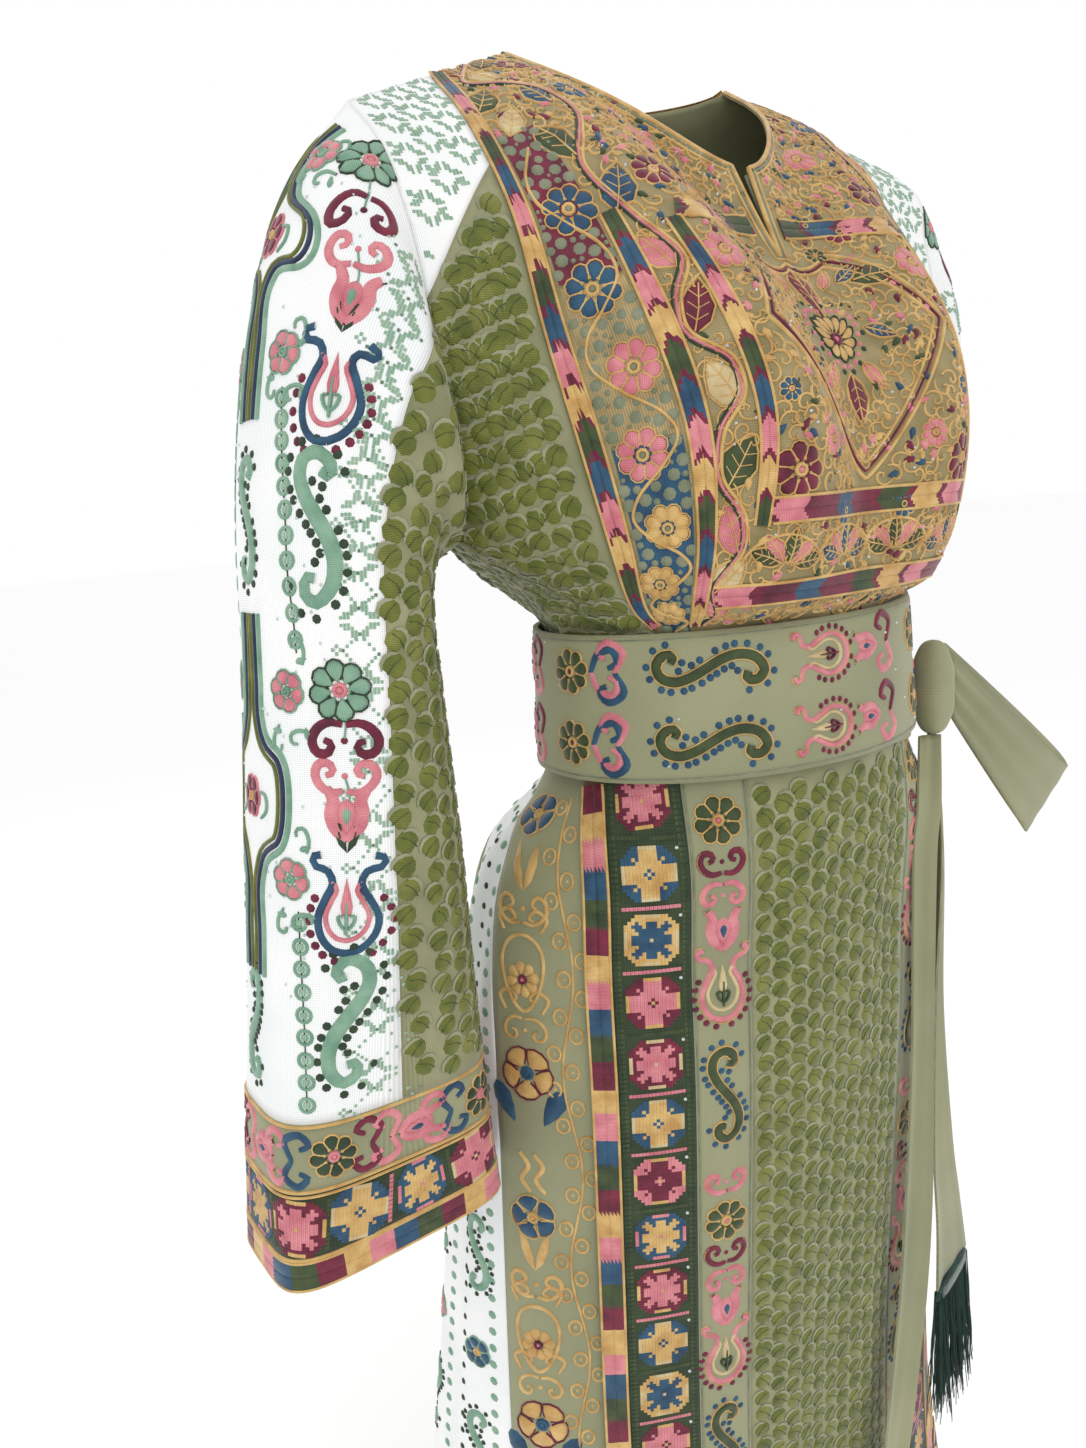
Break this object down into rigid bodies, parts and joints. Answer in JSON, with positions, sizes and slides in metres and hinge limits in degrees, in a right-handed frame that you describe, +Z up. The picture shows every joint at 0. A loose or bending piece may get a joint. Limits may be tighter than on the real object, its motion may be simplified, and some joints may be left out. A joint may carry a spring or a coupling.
{
  "type": "embroidered thobe with its own belt",
  "caption": "Long-sleeved full-length dress, hollow as worn, with embroidered chest panel, banded cuffs, panelled skirt and a tied sash belt with tassels.",
  "frame": {"origin": "between the shoulders, level with the points where the shoulder seams meet the neck, where the wearer's shoulders carry the dress", "axes": "+Z up, the wearer faces -Y, the wearer's right is -X"},
  "size_m": [0.664, 0.4289, 1.4015],
  "materials": {
    "chest_embroidery": "dense satin-stitch embroidery with raised gold cord on sage cloth",
    "leaf_cloth": "olive leaf embroidery on semi-sheer sage cloth",
    "white_cloth": "white crepe with coloured satin-stitch embroidery",
    "godet_cloth": "white crepe with seafoam embroidery",
    "ribbon": "colour-block woven satin ribbon with a zigzag ridge",
    "cross_stitch": "dark green cross-stitch ground with star medallions",
    "sage_cloth": "smooth sage crepe, embroidered in part",
    "tassel_thread": "glossy dark green twisted thread"
  },
  "bodies": {
    "root": {"chest_panel": "chest_embroidery", "side_front_right": "leaf_cloth", "side_front_left": "leaf_cloth", "back_bodice": "leaf_cloth", "sleeve_top_right": "white_cloth", "sleeve_under_right": "leaf_cloth", "cuff_sage_band_right": "sage_cloth", "cuff_cross_stitch_right": "cross_stitch", "cuff_edge_right": "ribbon", "sleeve_top_left": "white_cloth", "sleeve_under_left": "leaf_cloth", "cuff_sage_band_left": "sage_cloth", "cuff_cross_stitch_left": "cross_stitch", "cuff_edge_left": "ribbon", "skirt_leaf_panel": "leaf_cloth", "skirt_motif_strip_right": "sage_cloth", "skirt_motif_strip_left": "sage_cloth", "skirt_cross_stitch_right": "cross_stitch", "skirt_cross_stitch_left": "cross_stitch", "skirt_colour_strip_right": "ribbon", "skirt_colour_strip_left": "ribbon", "skirt_sage_panel_right": "sage_cloth", "skirt_sage_panel_left": "sage_cloth", "skirt_godet_right": "godet_cloth", "skirt_godet_left": "godet_cloth", "skirt_side_back_right": "sage_cloth", "skirt_side_back_left": "sage_cloth", "skirt_back": "leaf_cloth", "ribbon_outer_right": "ribbon", "ribbon_outer_left": "ribbon", "ribbon_second_right": "ribbon", "ribbon_second_left": "ribbon", "ribbon_inner_right": "ribbon", "ribbon_inner_left": "ribbon", "ribbon_upper_right": "ribbon", "ribbon_upper_left": "ribbon", "ribbon_middle": "ribbon", "ribbon_lower": "ribbon", "neck_binding": "ribbon", "neck_facing": "sage_cloth", "belt": "sage_cloth", "belt_under_wrap": "sage_cloth", "bow_loop": "sage_cloth", "tail_long": "sage_cloth", "tail_short": "sage_cloth", "knot": "sage_cloth", "tassel_long": "tassel_thread", "tassel_short": "tassel_thread"}
  },
  "joints": []
}
